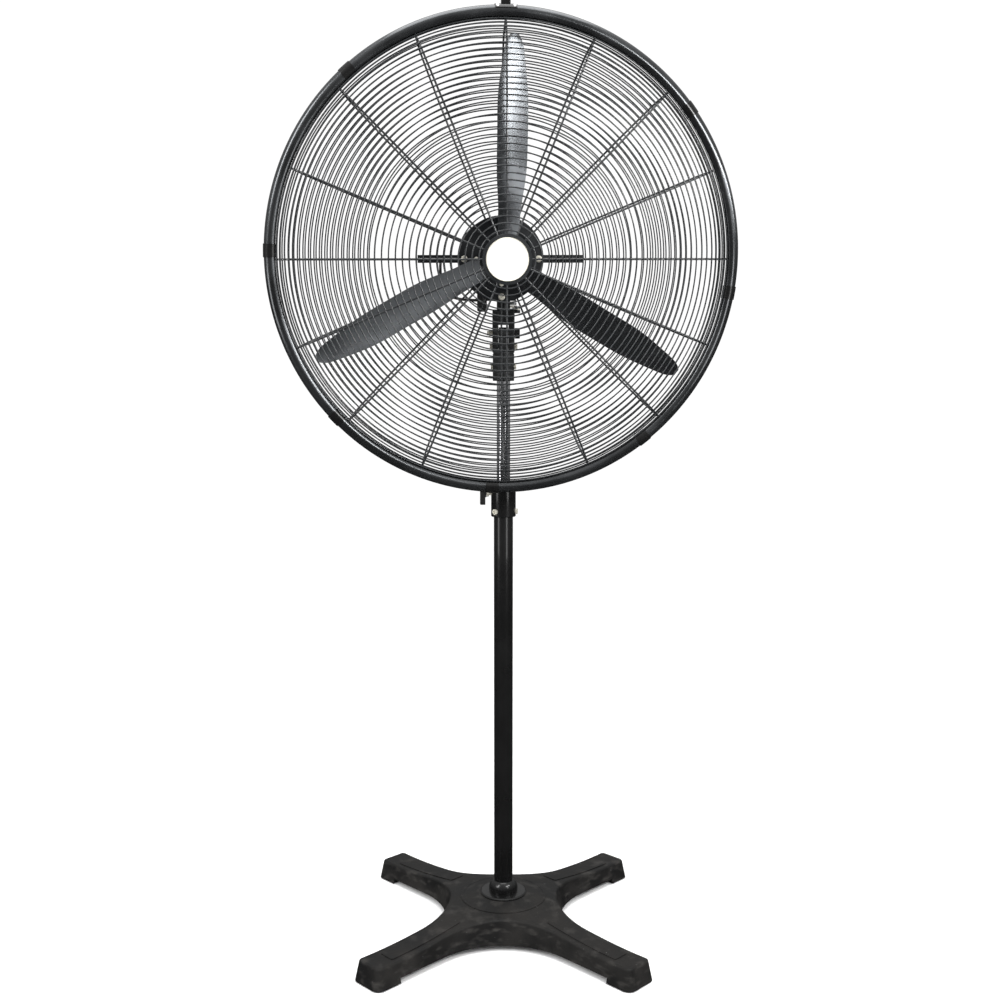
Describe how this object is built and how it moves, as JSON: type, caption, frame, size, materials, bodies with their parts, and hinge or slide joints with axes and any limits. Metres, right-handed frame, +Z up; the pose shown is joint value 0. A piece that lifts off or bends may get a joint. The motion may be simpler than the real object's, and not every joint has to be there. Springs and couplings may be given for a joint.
{
  "type": "pedestal fan",
  "caption": "Industrial pedestal fan with a round wire guard, a tilting oscillating head, a telescopic column and a heavy cross-shaped base.",
  "frame": {"origin": "on the floor, on the axis of the column", "axes": "+Z up, the fan blows towards -Y, +X to the right as seen from the front"},
  "size_m": [0.8235, 0.5226, 1.6775],
  "materials": {
    "cast_black": "matte charcoal powder coat",
    "rubber_black": "matte",
    "black_gloss": "gloss black",
    "black_satin": "satin black",
    "chrome": "polished",
    "zinc": "zinc plated",
    "steel": "ground",
    "brass": "machined",
    "copper": "varnished windings",
    "plastic_black": "moulded, matte",
    "plastic_grey": "moulded",
    "blade_grey": "satin dark paint",
    "wire_black": "semi-gloss black",
    "rim_dark": "gloss dark grey",
    "badge_white": "plain white",
    "cast_case": "black painted casting"
  },
  "bodies": {
    "base": {"base_cross": "cast_black", "foot_pads": "rubber_black", "pole_flange": "black_gloss", "pole_stud": "steel", "base_nut": "steel", "outer_pole": "black_gloss", "pole_collar": "black_gloss", "collar_screws": "zinc", "guide_bush": "plastic_grey"},
    "height_clamp": {"height_lever": "plastic_black", "clamp_screw": "zinc"},
    "mast": {"inner_tube": "chrome", "tube_plug": "plastic_grey", "neck_socket": "cast_case", "socket_screws": "zinc", "pivot_bolt": "zinc", "pivot_nut": "zinc", "lock_bolt": "zinc"},
    "tilt_lock": {"tilt_knob": "plastic_black"},
    "bracket": {"tilt_bracket": "cast_case", "swivel_pin": "steel", "link_pin": "steel"},
    "head": {"swivel_saddle": "cast_case", "motor_front_shell": "cast_case", "motor_rear_shell": "cast_case", "shaft_bearings": "steel", "stator_core": "steel", "stator_windings": "copper", "gearbox_case": "cast_case", "switch_cap": "plastic_black", "speed_switch": "plastic_grey", "run_capacitor": "plastic_grey", "guard_plate": "black_satin", "plate_screws": "zinc", "motor_screws": "zinc", "front_guard": "wire_black", "rear_guard": "wire_black", "rim_band": "rim_dark", "spring_clips": "black_gloss", "top_clip": "black_gloss", "clip_screws": "badge_white", "guard_cap": "black_satin", "badge": "badge_white", "badge_bezel": "zinc", "guard_brace": "black_satin", "cable_glands": "rubber_black", "motor_lead": "rubber_black"},
    "impeller": {"motor_shaft": "steel", "rotor_core": "steel", "worm": "steel", "blade_hub": "black_satin", "hub_screw": "steel", "blade_1": "blade_grey", "blade_2": "blade_grey", "blade_3": "blade_grey"},
    "crank": {"crank_arm": "steel", "worm_wheel": "brass"},
    "link": {"swing_link": "zinc"},
    "swing_pull": {"swing_knob": "plastic_black"},
    "speed_dial": {"speed_knob": "plastic_black"}
  },
  "joints": [
    {"name": "height_clamp_turn", "type": "hinge", "parent": "base", "child": "height_clamp", "pos_m": [-0.035, 0, 0.842], "axis": [1, 0, 0], "range_deg": [0, 360]},
    {"name": "height_slide", "type": "slide", "parent": "base", "child": "mast", "axis": [0, 0, 1], "range_m": [-0.2, 0.2]},
    {"name": "tilt_knob_turn", "type": "hinge", "parent": "mast", "child": "tilt_lock", "pos_m": [0.026, 0, 1.14], "axis": [1, 0, 0], "range_deg": [0, 360]},
    {"name": "head_tilt", "type": "hinge", "parent": "mast", "child": "bracket", "pos_m": [0, 0, 1.116], "axis": [1, 0, 0], "range_deg": [-25, 3]},
    {"name": "head_swing", "type": "hinge", "parent": "bracket", "child": "head", "pos_m": [0, 0, 1.116], "axis": [0, -0.1262, 0.992], "range_deg": [-45.6, 34.4]},
    {"name": "impeller_spin", "type": "hinge", "parent": "head", "child": "impeller", "pos_m": [0.00305, -0.13025, 1.26001], "axis": [0.0976, -0.9873, -0.1256], "continuous": true},
    {"name": "crank_turn", "type": "hinge", "parent": "head", "child": "crank", "pos_m": [0.00273, 0.06393, 1.20478], "axis": [0, -0.1262, 0.992], "range_deg": [-70, 92]},
    {"name": "link_swing", "type": "hinge", "parent": "bracket", "child": "link", "pos_m": [0.024, -0.00871, 1.18445], "axis": [0, -0.1262, 0.992], "range_deg": [-46, 35]},
    {"name": "swing_knob_pull", "type": "slide", "parent": "head", "child": "swing_pull", "axis": [0, -0.1262, 0.992], "range_m": [0, 0.008]},
    {"name": "speed_knob_turn", "type": "hinge", "parent": "head", "child": "speed_dial", "pos_m": [-0.02018, 0.10472, 1.28991], "axis": [0.0976, -0.9873, -0.1256], "range_deg": [0, 135]}
  ],
  "couplings": [
    {"joint": "crank_turn", "follows": "head_swing", "ratio": -2},
    {"joint": "link_swing", "follows": "head_swing", "ratio": 1}
  ]
}
